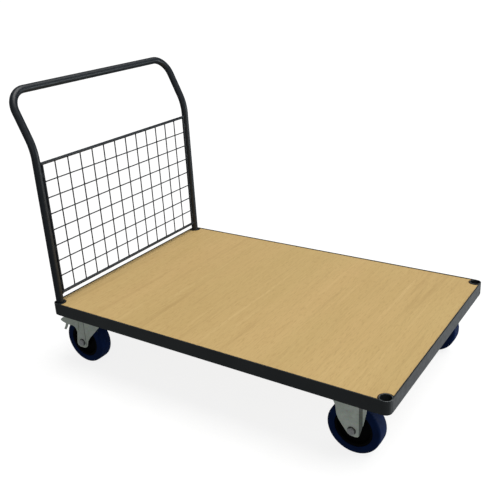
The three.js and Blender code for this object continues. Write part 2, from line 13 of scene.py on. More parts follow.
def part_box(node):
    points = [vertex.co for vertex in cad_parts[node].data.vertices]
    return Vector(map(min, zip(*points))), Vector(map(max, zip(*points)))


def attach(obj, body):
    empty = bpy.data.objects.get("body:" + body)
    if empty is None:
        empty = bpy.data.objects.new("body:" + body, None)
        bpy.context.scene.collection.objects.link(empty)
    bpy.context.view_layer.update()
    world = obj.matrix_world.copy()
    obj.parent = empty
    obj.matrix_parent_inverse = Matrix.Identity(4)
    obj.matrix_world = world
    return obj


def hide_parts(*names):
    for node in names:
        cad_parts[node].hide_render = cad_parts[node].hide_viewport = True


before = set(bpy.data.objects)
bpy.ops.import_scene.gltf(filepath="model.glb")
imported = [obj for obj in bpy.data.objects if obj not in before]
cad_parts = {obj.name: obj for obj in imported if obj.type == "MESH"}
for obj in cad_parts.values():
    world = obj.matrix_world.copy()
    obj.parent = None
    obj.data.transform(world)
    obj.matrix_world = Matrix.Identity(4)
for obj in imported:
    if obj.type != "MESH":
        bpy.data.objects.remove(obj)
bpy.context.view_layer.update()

SIDES = (("near", -1), ("far", 1))
MM = 0.001
TURN = 2 * math.pi

# the rails and pipes stand this much higher than in the CAD, so the board lies in a shallow tray
PROUD = 1.8 * MM
LEG_OUTER = 33 * MM  # wheel's middle plane to the outer face of a fork's or bracket's leg
CROWN_HEIGHT = 98 * MM  # fork crown's top above the axle
AXLE_R = 6 * MM
AXLE_HOLE_R = 6.1 * MM
HEX_M12 = 19 * MM  # across flats
HEX_M8 = 13 * MM
M12_PITCH = 1.75 * MM
M8_PITCH = 1.25 * MM


# ---------------------------------------------------------------- places read from the CAD nodes


def centre(node):
    low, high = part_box(node)
    return (low + high) / 2


push_socket = centre("corner_socket_push_far")
free_socket = centre("corner_socket_free_far")
frame_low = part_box("side_rail_near")[0]
frame_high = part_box("side_rail_far")[1]
deck_low, deck_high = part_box("deck_board")
DECK_TOP = deck_high.z
SOCKET_Y = push_socket.y


# ---------------------------------------------------------------- materials


class Graph:
    """A node material under construction, in object coordinates."""

    def __init__(self, name):
        self.material = bpy.data.materials.new(name)
        self.material.use_nodes = True
        self.tree = self.material.node_tree
        self.shader = self.tree.nodes["Principled BSDF"]
        self.where = self.node("ShaderNodeTexCoord").outputs["Object"]

    def node(self, kind, **settings):
        made = self.tree.nodes.new(kind)
        for key, value in settings.items():
            setattr(made, key, value)
        return made

    def link(self, output, socket):
        self.tree.links.new(output, socket)

    def noise(self, scale, stretch=(1, 1, 1), detail=3.0, roughness=0.5, distortion=0.0):
        mapping = self.node("ShaderNodeMapping")
        mapping.inputs["Scale"].default_value = stretch
        self.link(self.where, mapping.inputs["Vector"])
        noise = self.node("ShaderNodeTexNoise")
        noise.inputs["Scale"].default_value = scale
        noise.inputs["Detail"].default_value = detail
        noise.inputs["Roughness"].default_value = roughness
        noise.inputs["Distortion"].default_value = distortion
        self.link(mapping.outputs["Vector"], noise.inputs["Vector"])
        return noise.outputs["Fac"]

    def ramp(self, factor, *stops):
        ramp = self.node("ShaderNodeValToRGB")
        elements = ramp.color_ramp.elements
        while len(elements) < len(stops):
            elements.new(0.5)
        for element, (position, colour) in zip(elements, stops):
            element.position = position
            element.color = (*colour, 1) if hasattr(colour, "__len__") else (colour,) * 3 + (1,)
        self.link(factor, ramp.inputs["Fac"])
        return ramp.outputs["Color"]

    def mix(self, factor, first, second, blend="MIX"):
        mix = self.node("ShaderNodeMix", data_type="RGBA", blend_type=blend)
        for name, value in (("Factor", factor), ("A", first), ("B", second)):
            socket = next(s for s in mix.inputs if s.name == name and s.enabled)
            if isinstance(value, bpy.types.NodeSocket):
                self.link(value, socket)
            elif name == "Factor":
                socket.default_value = value
            else:
                socket.default_value = (*value, 1)
        return next(s for s in mix.outputs if s.name == "Result" and s.enabled)

    def spread(self, factor, low, high):
        """Noise turned into a number from low to high."""
        remap = self.node("ShaderNodeMapRange")
        remap.inputs["From Min"].default_value = 0.3
        remap.inputs["From Max"].default_value = 0.7
        remap.inputs["To Min"].default_value = low
        remap.inputs["To Max"].default_value = high
        self.link(factor, remap.inputs["Value"])
        return remap.outputs["Result"]

    def bump(self, height, depth, strength=1.0, under=None):
        bump = self.node("ShaderNodeBump")
        bump.inputs["Distance"].default_value = depth
        bump.inputs["Strength"].default_value = strength
        self.link(height, bump.inputs["Height"])
        if under is not None:
            self.link(under, bump.inputs["Normal"])
        return bump.outputs["Normal"]

    def surface(self, colour, roughness, normal, **constants):
        self.link(colour, self.shader.inputs["Base Color"])
        self.link(roughness, self.shader.inputs["Roughness"])
        self.link(normal, self.shader.inputs["Normal"])
        for name, value in constants.items():
            self.shader.inputs[name.replace("_", " ")].default_value = value
        return self.material


def powder_coat(name, low, high, dusty):
    """Satin powder coat with a fine orange peel, a little dust and cloudy sheen."""
    g = Graph(name)
    peel = g.noise(750, detail=1.5)
    cloud = g.noise(9, detail=3)
    dust = g.noise(60, detail=5, roughness=0.65)
    colour = g.ramp(cloud, (0.3, low), (0.7, high))
    colour = g.mix(g.ramp(dust, (0.55, 0.0), (0.85, dusty)), colour, (0.045, 0.046, 0.044))
    normal = g.bump(peel, 0.00025, 0.35)
    return g.surface(colour, g.spread(dust, 0.33, 0.50), normal, Specular_IOR_Level=0.42)


def bare_lip():
    """Steel showing through the paint on a turned lip."""
    g = Graph("bare_lip")
    rub = g.noise(140, detail=4)
    colour = g.ramp(rub, (0.35, (0.060, 0.066, 0.068)), (0.65, (0.17, 0.185, 0.19)))
    return g.surface(colour, g.spread(rub, 0.3, 0.5), g.bump(rub, 0.0001, 0.4), Metallic=0.6)


def laminate():
    """Beech laminate with its grain across the deck: broad streaks, fibres and short flecks."""
    g = Graph("deck_laminate")
    streak = g.noise(1.0, (42, 1.6, 1), detail=4, roughness=0.55, distortion=0.25)
    band = g.noise(1.0, (7.5, 0.8, 1), detail=2)
    fibre = g.noise(1.0, (620, 11, 40), detail=3, roughness=0.6)
    fleck = g.noise(1.0, (330, 48, 40), detail=1)
    patch = g.noise(3.2, detail=3)
    colour = g.ramp(
        streak,
        (0.28, (0.500, 0.338, 0.135)),
        (0.45, (0.585, 0.412, 0.172)),
        (0.58, (0.560, 0.388, 0.158)),
        (0.75, (0.640, 0.462, 0.205)),
    )
    colour = g.mix(g.ramp(band, (0.42, 0.0), (0.66, 0.35)), colour, (0.655, 0.440, 0.195))
    colour = g.mix(g.ramp(patch, (0.45, 0.0), (0.75, 0.20)), colour, (0.535, 0.415, 0.165))
    colour = g.mix(g.ramp(fibre, (0.48, 0.0), (0.74, 0.46)), colour, (0.455, 0.300, 0.115))
    colour = g.mix(g.ramp(fleck, (0.56, 0.0), (0.70, 0.42)), colour, (0.430, 0.270, 0.100))
    normal = g.bump(fibre, 0.00006, 0.35)
    return g.surface(colour, g.spread(patch, 0.42, 0.56), normal, Specular_IOR_Level=0.35)


def board_edge_shade():
    """The board's cut edge: pressed fibres, dark brown, darker than the face, which paints the shade on
    the notch walls.
    """
    g = Graph("board_edge_shade")
    layer = g.noise(1.0, (90, 90, 1400), detail=3)
    speck = g.noise(1500, detail=2)
    colour = g.ramp(layer, (0.3, (0.16, 0.075, 0.035)), (0.7, (0.30, 0.16, 0.08)))
    colour = g.mix(g.ramp(speck, (0.58, 0.0), (0.75, 0.5)), colour, (0.09, 0.045, 0.02))
    return g.surface(colour, g.spread(speck, 0.6, 0.8), g.bump(speck, 0.0002, 0.5))


def zinc(name, painted_light_scale=1.0):
    """Passivated zinc on pressed steel: a fine spangle, rolling lines and handling marks. The scale
    argument gives lighter and darker copies of the same zinc, which paint light and shade.
    """
    g = Graph(name)
    cell = g.node("ShaderNodeTexVoronoi")
    cell.inputs["Scale"].default_value = 320
    g.link(g.where, cell.inputs["Vector"])
    cloud = g.noise(55, detail=5, roughness=0.6)
    rolled = g.noise(1.0, (60, 60, 900), detail=2)
    dull, bright = (
        tuple(painted_light_scale * c for c in shade) for shade in ((0.52, 0.57, 0.49), (0.67, 0.72, 0.64)))
    colour = g.ramp(cloud, (0.3, dull), (0.7, bright))
    colour = g.mix(0.16, colour, cell.outputs["Color"], "SOFT_LIGHT")
    colour = g.mix(g.ramp(rolled, (0.5, 0.0), (0.8, 0.18)), colour, (0.42, 0.45, 0.39))
    normal = g.bump(cloud, 0.00012, 0.4, g.bump(rolled, 0.00005, 0.25))
    return g.surface(colour, g.spread(cloud, 0.42, 0.60), normal, Metallic=0.30)


def bolt_steel(name, painted_light_scale=1.0):
    """Plated steel with fine handling marks. The scale argument darkens a copy, which paints shade."""
    g = Graph(name)
    mark = g.noise(260, detail=4)
    colour = g.ramp(mark, (0.3, (0.36 * painted_light_scale,) * 3), (0.7, (0.60 * painted_light_scale,) * 3))
    return g.surface(colour, g.spread(mark, 0.26, 0.44), g.bump(mark, 0.00008, 0.4), Metallic=0.6)


def tyre_rubber():
    """Dark blue elastic rubber with a matt bloom and road dust in its skin."""
    g = Graph("blue_tyre")
    skin = g.noise(900, detail=2)
    bloom = g.noise(32, detail=5, roughness=0.6)
    colour = g.ramp(bloom, (0.3, (0.0018, 0.0085, 0.040)), (0.7, (0.0030, 0.0150, 0.072)))
    colour = g.mix(g.ramp(bloom, (0.60, 0.0), (0.85, 0.18)), colour, (0.018, 0.030, 0.065))
    return g.surface(
        colour, g.spread(bloom, 0.62, 0.80), g.bump(skin, 0.00015, 0.45), Specular_IOR_Level=0.08
    )


def moulded(name, colour, rough, shine=0.25):
    """Moulded plastic or rubber with a spark-eroded skin."""
    g = Graph(name)
    skin = g.noise(1300, detail=2)
    flow = g.noise(24, detail=4)
    shade = g.ramp(flow, (0.3, colour), (0.7, tuple(1.7 * c for c in colour)))
    normal = g.bump(skin, 0.00012, 0.4)
    return g.surface(shade, g.spread(flow, rough, rough + 0.16), normal, Specular_IOR_Level=shine)


def studio_paper(name, glow):
    """Pale backdrop paper that glows a little, so that it stays near white in the shade."""
    g = Graph(name)
    grain = g.noise(14, detail=3)
    colour = g.ramp(grain, (0.3, 0.225), (0.7, 0.240))
    return g.surface(
        colour, g.spread(grain, 0.75, 0.85), g.bump(grain, 0.0002, 0.1),
        Emission_Color=(1, 1, 1, 1), Emission_Strength=glow, Specular_IOR_Level=0.0)


COAT = powder_coat("powder_coat", (0.0125, 0.0150, 0.0160), (0.0190, 0.0222, 0.0232), 0.35)
PUSH_COAT = powder_coat("push_end_coat", (0.0048, 0.0080, 0.0120), (0.0075, 0.0122, 0.0180), 0.12)
LIP = bare_lip()
LAMINATE = laminate()
BOARD_EDGE_SHADE = board_edge_shade()
ZINC = zinc("zinc_plate")
# a lighter copy of the zinc for the fixed brackets: painted light
ZINC_BRACKET_PAINTED_LIGHT = zinc("zinc_bracket_painted_light", 1.14)
# a darkened copy of the zinc for the brackets' joggle walls and the forks' crease lines: painted shade
ZINC_PAINTED_SHADE = zinc("zinc_painted_shade", 0.34)
BOLT = bolt_steel("bolt_steel")
# a near-black copy of the bolt steel, for the wide washer under each axle bolt's head: painted shadow
# round the head
PAINTED_SHADOW_STEEL = bolt_steel("painted_shadow_steel", 0.16)
TYRE = tyre_rubber()
NYLON = moulded("wheel_nylon", (0.0012, 0.0012, 0.0014), 0.58, 0.06)
PLASTIC = moulded("black_plastic", (0.0060, 0.0062, 0.0065), 0.38)
RUBBER = moulded("brake_rubber", (0.0075, 0.0075, 0.0078), 0.60)


# ---------------------------------------------------------------- mesh helpers


def turned_on_z(point):
    return Matrix.Translation(point)


def turned_on_y(point):
    """Local +Z becomes +Y."""
    return Matrix.Translation(point) @ Matrix.Rotation(-math.pi / 2, 4, "X")


def add_rings(bm, rings, closed=True, capped=False):
    """Skins a chain of rings. A ring of one vertex is a pole."""
    pairs = list(zip(rings, rings[1:]))
    if closed:
        pairs.append((rings[-1], rings[0]))
    for a, b in pairs:
        count = max(len(a), len(b))
        if count == 1:
            continue
        for i in range(count):
            j = (i + 1) % count
            if len(a) == 1:
                bm.faces.new((a[0], b[j], b[i]))
            elif len(b) == 1:
                bm.faces.new((a[i], a[j], b[0]))
            else:
                bm.faces.new((a[i], a[j], b[j], b[i]))
    if capped:
        for ring in (rings[0], rings[-1]):
            if len(ring) > 2:
                bm.faces.new(ring)


def add_lathe(bm, profile, where, segments=64):
    """Turns a closed outline of (radius, height) about local Z."""
    rings = []
    for radius, height in profile:
        count = segments if radius > 1e-7 else 1
        rings.append([
            bm.verts.new(where @ Vector((
                radius * math.cos(TURN * i / count), radius * math.sin(TURN * i / count), height)))
            for i in range(count)
        ])
    add_rings(bm, rings)


def tube_rings(bm, path, radius, sides, closed=False):
    points = [Vector(p) for p in path]
    last = len(points) - 1
    rings = []
    normal = None
    for k, point in enumerate(points):
        before = points[k - 1] if k or closed else points[0]
        after = points[(k + 1) % len(points)] if k < last or closed else points[last]
        along = (after - before).normalized()
        if normal is None:
            normal = along.orthogonal()
        normal = (normal - along * normal.dot(along)).normalized()
        across = along.cross(normal)
        size = radius(k) if callable(radius) else radius
        rings.append([
            bm.verts.new(point + size * (
                normal * math.cos(TURN * i / sides) + across * math.sin(TURN * i / sides)))
            for i in range(sides)
        ])
    return rings


def add_rod(bm, start, end, radius, sides=16, round_end=0.0):
    """A straight rod with its end edges rounded."""
    start, end = Vector(start), Vector(end)
    along = (end - start).normalized()
    soft = min(round_end, 0.45 * (end - start).length)
    if soft <= 0:
        add_rings(bm, tube_rings(bm, (start, end), radius, sides), False, True)
        return
    inner = radius - soft
    shape = [(0, inner), (0.3 * soft, radius - 0.3 * soft), (soft, radius)]
    path = [start + along * a for a, _ in shape] + [end - along * a for a, _ in reversed(shape)]
    sizes = [r for _, r in shape] + [r for _, r in reversed(shape)]
    add_rings(bm, tube_rings(bm, path, lambda k: sizes[k], sides), False, True)


def add_weld(bm, start, end, radius, sides=8):
    """A straight fillet bead with its ripples and tapered ends."""
    start, end = Vector(start), Vector(end)
    length = (end - start).length
    count = max(8, int(length / (0.42 * radius)))

    def size(k):
        share = k / count
        taper = math.sqrt(max(0.0, 1 - (2 * share - 1) ** 10))
        return radius * (0.22 + 0.78 * taper) * (1 + 0.10 * math.sin(TURN * k / 5))

    path = [start.lerp(end, k / count) for k in range(count + 1)]
    add_rings(bm, tube_rings(bm, path, size, sides), False, True)


def add_ring_weld(bm, point, axis, ring_radius, radius, sides=8):
    """A fillet bead all round a rod."""
    axis = Vector(axis)
    u = axis.orthogonal().normalized()
    v = axis.cross(u)
    count = max(20, 5 * int(TURN * ring_radius / (2.1 * radius)))
    path = [
        Vector(point) + ring_radius * (u * math.cos(TURN * k / count) + v * math.sin(TURN * k / count))
        for k in range(count)
    ]
    rings = tube_rings(
        bm, path, lambda k: radius * (1 + 0.12 * math.sin(TURN * k / 5)), sides, closed=True
    )
    add_rings(bm, rings)


def add_hex(bm, across, low, high, where, hole=0.0, flat_low=False):
    """A hexagon along local Z with turned chamfers on its ends, and a hole if it is a nut."""
    count = 48
    crown = 0.475 * across

    def ring(radius_at, height_at):
        made = []
        for i in range(count):
            angle = TURN * i / count
            radius = radius_at(angle)
            made.append(bm.verts.new(where @ Vector((
                radius * math.cos(angle), radius * math.sin(angle), height_at(radius)))))
        return made

    def flat(angle):
        off = (angle + math.pi / 6) % (math.pi / 3) - math.pi / 6
        return 0.5 * across / math.cos(off)

    slope = math.tan(math.radians(30))
    rings = []
    if flat_low:
        rings.append(ring(flat, lambda r: low))
    else:
        rings.append(ring(lambda a: crown, lambda r: low))
        rings.append(ring(flat, lambda r: low + (r - crown) * slope))
    rings.append(ring(flat, lambda r: high - (r - crown) * slope))
    rings.append(ring(lambda a: crown, lambda r: high))
    if hole:
        rings.append(ring(lambda a: hole, lambda r: high))
        rings.append(ring(lambda a: hole, lambda r: low))
        add_rings(bm, rings)
    else:
        add_rings(bm, rings, False, True)


def add_washer(bm, inner, outer, low, high, where, segments=40):
    soft = 0.2 * (high - low)
    add_lathe(bm, [
        (inner, low), (outer - soft, low), (outer, low + soft), (outer, high - soft),
        (outer - soft, high), (inner, high)], where, segments)


def add_thread(bm, radius, low, high, pitch, where, segments=28):
    """A threaded end: one ridge for each pitch, and a chamfered tip at high."""
    core = radius - 0.6 * pitch
    profile = [(0, low)]
    count = max(1, int((high - low - pitch) / pitch))
    for k in range(count):
        base = low + k * pitch
        profile += [(core, base), (radius, base + 0.45 * pitch), (radius, base + 0.55 * pitch)]
    profile += [
        (core, low + count * pitch), (core, high - 0.3 * pitch), (core - 0.3 * pitch, high),
        (0, high)]
    add_lathe(bm, profile, where, segments)


def add_prism(bm, outline, low, high, where=Matrix.Identity(4)):
    """A flat outline raised along local Z."""
    bottom = [bm.verts.new(where @ Vector((x, y, low))) for x, y in outline]
    top = [bm.verts.new(where @ Vector((x, y, high))) for x, y in outline]
    add_rings(bm, [bottom, top], False, True)


def soften(bm, width, segments=2, angle=28):
    """Rounds every edge that turns by more than the angle."""
    bmesh.ops.recalc_face_normals(bm, faces=bm.faces[:])
    sharp = [e for e in bm.edges if e.is_manifold and e.calc_face_angle(0) > math.radians(angle)]
    bmesh.ops.bevel(
        bm, geom=sharp, offset=width, offset_type="OFFSET", segments=segments, profile=0.5,
        affect="EDGES", clamp_overlap=True)


def piece(name, bm, material, body, replaced=(), angle=32, pick=None):
    """Makes an object from bm. material may be a list, and pick(face) then says which is used."""
    bmesh.ops.recalc_face_normals(bm, faces=bm.faces[:])
    materials = material if isinstance(material, list) else [material]
    if pick is not None:
        for face in bm.faces:
            face.material_index = pick(face)
    mesh = bpy.data.meshes.new(name)
    bm.to_mesh(mesh)
    bm.free()
    for each in materials:
        mesh.materials.append(each)
    mesh.shade_smooth()
    mesh.set_sharp_from_angle(angle=math.radians(angle))
    made = bpy.data.objects.new(name, mesh)
    bpy.context.scene.collection.objects.link(made)
    level = made.modifiers.new("level_faces", "WEIGHTED_NORMAL")
    level.keep_sharp = True
    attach(made, body)
    if replaced:
        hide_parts(*replaced)
    return made


def finished(node, material, body, width, segments=2, angle=28, pick=None, proud=0.0):
    """The CAD node's own shape with its split faces joined and its edges rounded.

    The vertices of its top edge are raised by proud.
    """
    bm = bmesh.new()
    bm.from_mesh(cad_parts[node].data)
    if proud:
        top = max(v.co.z for v in bm.verts)
        for vert in bm.verts:
            if vert.co.z > top - 0.1 * MM:
                vert.co.z += proud
    for layer in list(bm.loops.layers.float_vector):
        bm.loops.layers.float_vector.remove(layer)
    bmesh.ops.remove_doubles(bm, verts=bm.verts[:], dist=2e-6)
    bmesh.ops.dissolve_limit(
        bm, angle_limit=math.radians(0.6), use_dissolve_boundaries=False,
        verts=bm.verts[:], edges=bm.edges[:], delimit={"NORMAL"})
    soften(bm, width, segments, angle)
    return piece(f"{node}_finished", bm, material, body, (node,), pick=pick)


# ---------------------------------------------------------------- frame


def build_rails():
    for word, _ in SIDES:
        finished(f"side_rail_{word}", COAT, "frame", 0.9 * MM, proud=PROUD)
    for end in ("push", "free"):
        finished(f"end_rail_{end}", COAT, "frame", 0.9 * MM, proud=PROUD)
        finished(f"castor_channel_{end}", COAT, "frame", 0.8 * MM)
        finished(f"deck_bearer_{end}", COAT, "frame", 0.8 * MM)


def build_sockets():
    outer, bore, soft = 18.5 * MM, 16 * MM, 0.7 * MM
    low, high = frame_low.z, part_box("corner_socket_free_near")[1].z + PROUD
    profile = [
        (bore + soft, low), (outer - soft, low), (outer, low + soft),
        (outer, high - soft), (outer - 0.3 * soft, high - 0.3 * soft), (outer - soft, high),
        (bore + soft, high), (bore + 0.3 * soft, high - 0.3 * soft), (bore, high - soft),
        (bore, low + soft),
    ]
    for word, _ in SIDES:
        for end in ("push", "free"):
            node = f"corner_socket_{end}_{word}"
            middle = centre(node)
            bm = bmesh.new()
            add_lathe(bm, profile, turned_on_z((middle.x, middle.y, 0)), 96)
            lip_height = high - 0.9 * soft
            piece(
                f"{node}_pipe", bm, [COAT, LIP], "frame", (node,),
                pick=lambda face: int(min(v.co.z for v in face.verts) > lip_height))
        finished(f"foot_cup_{word}", PLASTIC, "frame", 0.5 * MM)


def board_outline(steps=26):
    """The board with a round notch at each corner, clear of the socket."""
    notch = 21.7 * MM
    outline = []
    corners = ((-1, -1), (1, -1), (1, 1), (-1, 1))
    for sx, sy in corners:
        cx = free_socket.x if sx > 0 else push_socket.x
        cy = sy * SOCKET_Y
        edge_x = deck_high.x if sx > 0 else deck_low.x
        edge_y = deck_high.y if sy > 0 else deck_low.y
        along_y_edge = cx - sx * math.sqrt(notch ** 2 - (edge_y - cy) ** 2)
        along_x_edge = cy - sy * math.sqrt(notch ** 2 - (edge_x - cx) ** 2)
        on_y_edge = math.atan2(edge_y - cy, along_y_edge - cx)
        on_x_edge = math.atan2(along_x_edge - cy, edge_x - cx)
        first, last = (on_y_edge, on_x_edge) if sx * sy < 0 else (on_x_edge, on_y_edge)
        while last > first:
            last -= TURN
        for k in range(steps + 1):
            angle = first + (last - first) * k / steps
            outline.append((cx + notch * math.cos(angle), cy + notch * math.sin(angle)))
    return outline


def build_board():
    bm = bmesh.new()
    add_prism(bm, board_outline(), deck_low.z, deck_high.z)
    soften(bm, 0.6 * MM, 2, 50)
    # the cut edges take the dark brown, which paints their shade
    piece(
        "deck_board_laminated", bm, [LAMINATE, BOARD_EDGE_SHADE], "frame",
        ("deck_board",), pick=lambda face: int(abs(face.normal.z) < 0.85))


def build_frame_welds():
    bm = bmesh.new()
    low, high = frame_low.z + 2 * MM, frame_low.z + 38 * MM
    for _, side in SIDES:
        for socket_x, inward in ((push_socket.x, 1), (free_socket.x, -1)):
            # side rail to socket: a flush seam outside and a fillet inside
            outside = side * (SOCKET_Y + 18.2 * MM)
            add_weld(bm, (socket_x + inward * 1.6 * MM, outside, low),
                     (socket_x + inward * 1.6 * MM, outside, high), 1.0 * MM)
            inside = side * (SOCKET_Y + 14.3 * MM)
            add_weld(bm, (socket_x + inward * 11.9 * MM, inside, low + 4 * MM),
                     (socket_x + inward * 11.9 * MM, inside, high - 16 * MM), 2.0 * MM)
            # end rail to socket
            outer_x = socket_x - inward * 18.2 * MM
            add_weld(bm, (outer_x, side * (SOCKET_Y - 1.6 * MM), low),
                     (outer_x, side * (SOCKET_Y - 1.6 * MM), high), 1.0 * MM)
            inner_x = socket_x - inward * 14.3 * MM
            add_weld(bm, (inner_x, side * (SOCKET_Y - 11.9 * MM), low + 4 * MM),
                     (inner_x, side * (SOCKET_Y - 11.9 * MM), high - 16 * MM), 2.0 * MM)
        for end in ("push", "free"):
            # channel to the rail's upright leg, and its underside to the level leg
            clow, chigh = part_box(f"castor_channel_{end}")
            rail_y = side * (frame_high.y - 4.6 * MM)
            for x, out in ((clow.x, -1), (chigh.x, 1)):
                add_weld(bm, (x + out * 0.6 * MM, rail_y, clow.z + 5 * MM),
                         (x + out * 0.6 * MM, rail_y, chigh.z - 1 * MM), 1.7 * MM)
                add_weld(bm, (x, side * (frame_high.y - 5 * MM), clow.z - 0.1 * MM),
                         (x, side * (frame_high.y - 28 * MM), clow.z - 0.1 * MM), 1.3 * MM)
            blow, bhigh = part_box(f"deck_bearer_{end}")
            for x, out in ((blow.x, -1), (bhigh.x, 1)):
                add_weld(bm, (x + out * 0.7 * MM, side * (frame_high.y - 6 * MM), blow.z + 0.5 * MM),
                         (x + out * 0.7 * MM, side * (frame_high.y - 38 * MM), blow.z + 0.5 * MM),
                         1.8 * MM)
                add_weld(bm, (x + out * 0.7 * MM, rail_y, blow.z + 2 * MM),
                         (x + out * 0.7 * MM, rail_y, bhigh.z - 1 * MM), 1.6 * MM)
    piece("frame_welds", bm, COAT, "frame", angle=60)


def build_board_screws():
    """Pan-head screws that hold the board down to its bearers."""
    bm = bmesh.new()
    for end in ("push", "free"):
        low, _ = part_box(f"deck_bearer_{end}")
        middle = centre(f"deck_bearer_{end}")
        for y in (-330, -110, 110, 330):
            where = Matrix.Translation((middle.x, y * MM, low.z)) @ Matrix.Rotation(math.pi, 4, "X")
            add_washer(bm, 2 * MM, 7 * MM, -0.2 * MM, 1.0 * MM, where)
            add_lathe(bm, [
                (0, 0.9 * MM), (4.6 * MM, 0.9 * MM), (4.6 * MM, 1.6 * MM), (3.9 * MM, 2.8 * MM),
                (2.4 * MM, 3.4 * MM), (2.0 * MM, 3.4 * MM), (1.6 * MM, 2.2 * MM), (0, 2.0 * MM)],
                where, 32)
    piece("deck_screws", bm, BOLT, "frame")


# ---------------------------------------------------------------- push end

LEAN_START = 484 * MM
LEAN_R = 165 * MM
LEAN_ANGLE = math.radians(25.3)
LEAN_LENGTH = 151.5 * MM
CORNER_R = 64 * MM
TUBE_R = 12.5 * MM
TUBE_WALL = 2 * MM
LEAN_ARC = LEAN_R * LEAN_ANGLE
CROSSBAR_TRAVEL = LEAN_START + LEAN_ARC + LEAN_LENGTH
TUBE_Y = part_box("push_tube")[1].y - TUBE_R


def leaning(y, travel):
    """A point on the push end's bent surface: travel runs up an upright from the deck."""
    bent = min(max((travel - LEAN_START) / LEAN_R, 0), LEAN_ANGLE)
    straight = max(0.0, travel - LEAN_START - LEAN_ARC)
    reach = LEAN_R * (1 - math.cos(bent)) + straight * math.sin(LEAN_ANGLE)
    rise = min(travel, LEAN_START) + LEAN_R * math.sin(bent) + straight * math.cos(LEAN_ANGLE)
    return Vector((push_socket.x - reach, y, DECK_TOP + rise))


def build_push_tube():
    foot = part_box("push_tube")[0].z - DECK_TOP
    half = [leaning(-TUBE_Y, foot + (LEAN_START - foot) * k / 6) for k in range(6)]
    half += [leaning(-TUBE_Y, LEAN_START + LEAN_ARC * k / 14) for k in range(15)]
    straight = CROSSBAR_TRAVEL - CORNER_R - LEAN_START - LEAN_ARC
    half += [leaning(-TUBE_Y, LEAN_START + LEAN_ARC + straight * k / 3) for k in (1, 2)]
    for k in range(25):
        turn = math.pi / 2 * k / 24
        half.append(leaning(
            CORNER_R * (1 - math.cos(turn)) - TUBE_Y,
            CROSSBAR_TRAVEL - CORNER_R * (1 - math.sin(turn))))
    path = half + [Vector((p.x, -p.y, p.z)) for p in reversed(half)]
    bm = bmesh.new()
    outer = tube_rings(bm, path, TUBE_R, 48)
    inner = tube_rings(bm, path, TUBE_R - TUBE_WALL, 48)
    add_rings(bm, outer + inner[::-1])
    piece("push_tube_bent", bm, PUSH_COAT, "push_end", ("push_tube",), angle=50)


def build_mesh_panel():
    bm = bmesh.new()
    beads = bmesh.new()
    for word in ("top", "bottom"):
        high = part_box(f"mesh_{word}_rail")[1]
        middle = centre(f"mesh_{word}_rail")
        reach = high.y + 0.6 * MM
        add_rod(bm, (middle.x, -reach, middle.z), (middle.x, reach, middle.z), 5 * MM, 28)
        for _, side in SIDES:
            add_ring_weld(beads, (middle.x, side * (high.y - 0.2 * MM), middle.z), (0, 1, 0),
                          5.3 * MM, 1.7 * MM)
    piece("mesh_rails_round", bm, PUSH_COAT, "push_end",
          ("mesh_top_rail", "mesh_bottom_rail"))
    top = centre("mesh_top_rail").z
    bottom = centre("mesh_bottom_rail").z
    x = centre("mesh_top_rail").x
    bm = bmesh.new()
    rod_y = centre("mesh_side_rod_far").y
    for _, side in SIDES:
        add_rod(bm, (x, side * rod_y, bottom + 4 * MM), (x, side * rod_y, top - 4 * MM), 4 * MM, 24)
        seam_y = side * (TUBE_Y - TUBE_R - 0.5 * MM)
        seam_x = x - 1.3 * MM
        for share in (0.08, 0.36, 0.64, 0.92):
            z = bottom + (top - bottom) * share
            for face in (-1, 1):
                add_weld(beads, (seam_x + face * 2.7 * MM, seam_y, z - 9 * MM),
                         (seam_x + face * 2.7 * MM, seam_y, z + 9 * MM), 2.0 * MM)
    piece("mesh_side_rods_round", bm, PUSH_COAT, "push_end",
          ("mesh_side_rod_near", "mesh_side_rod_far"))
    columns, rows, wire, offset = 13, 8, 2.1 * MM, 1.8 * MM
    column_pitch = 2 * rod_y / columns
    row_pitch = 54.1 * MM
    middle_z = (top + bottom) / 2
    bm = bmesh.new()
    for column in range(1, columns):
        y = column * column_pitch - rod_y
        add_rod(bm, (x - offset, y, bottom + 3 * MM), (x - offset, y, top - 3 * MM), wire, 14)
        for z, face in ((bottom, 1), (top, -1)):
            add_ring_weld(beads, (x - offset, y, z + face * 4.9 * MM), (0, 0, 1), 2.1 * MM, 0.8 * MM, 6)
    for row in range(1, rows):
        z = middle_z + (row - rows / 2) * row_pitch
        add_rod(bm, (x + offset, -rod_y + 2.5 * MM, z), (x + offset, rod_y - 2.5 * MM, z), wire, 14)
        for _, side in SIDES:
            add_ring_weld(beads, (x + offset, side * (rod_y - 3.6 * MM), z), (0, 1, 0),
                          2.0 * MM, 0.8 * MM, 6)
        for column in range(1, columns):
            y = column * column_pitch - rod_y
            for face in (-1, 1):
                add_lathe(beads, [
                    (0, -1.0 * MM), (1.9 * MM, -0.7 * MM), (2.5 * MM, 0), (1.9 * MM, 0.7 * MM),
                    (0, 1.0 * MM)],
                    Matrix.Translation((x, y + face * 1.2 * MM, z + face * 1.2 * MM)), 10)
    piece("mesh_wires_round", bm, PUSH_COAT, "push_end", ("mesh_grid",), angle=50)
    piece("mesh_welds", beads, PUSH_COAT, "push_end", angle=60)


# ---------------------------------------------------------------- castors


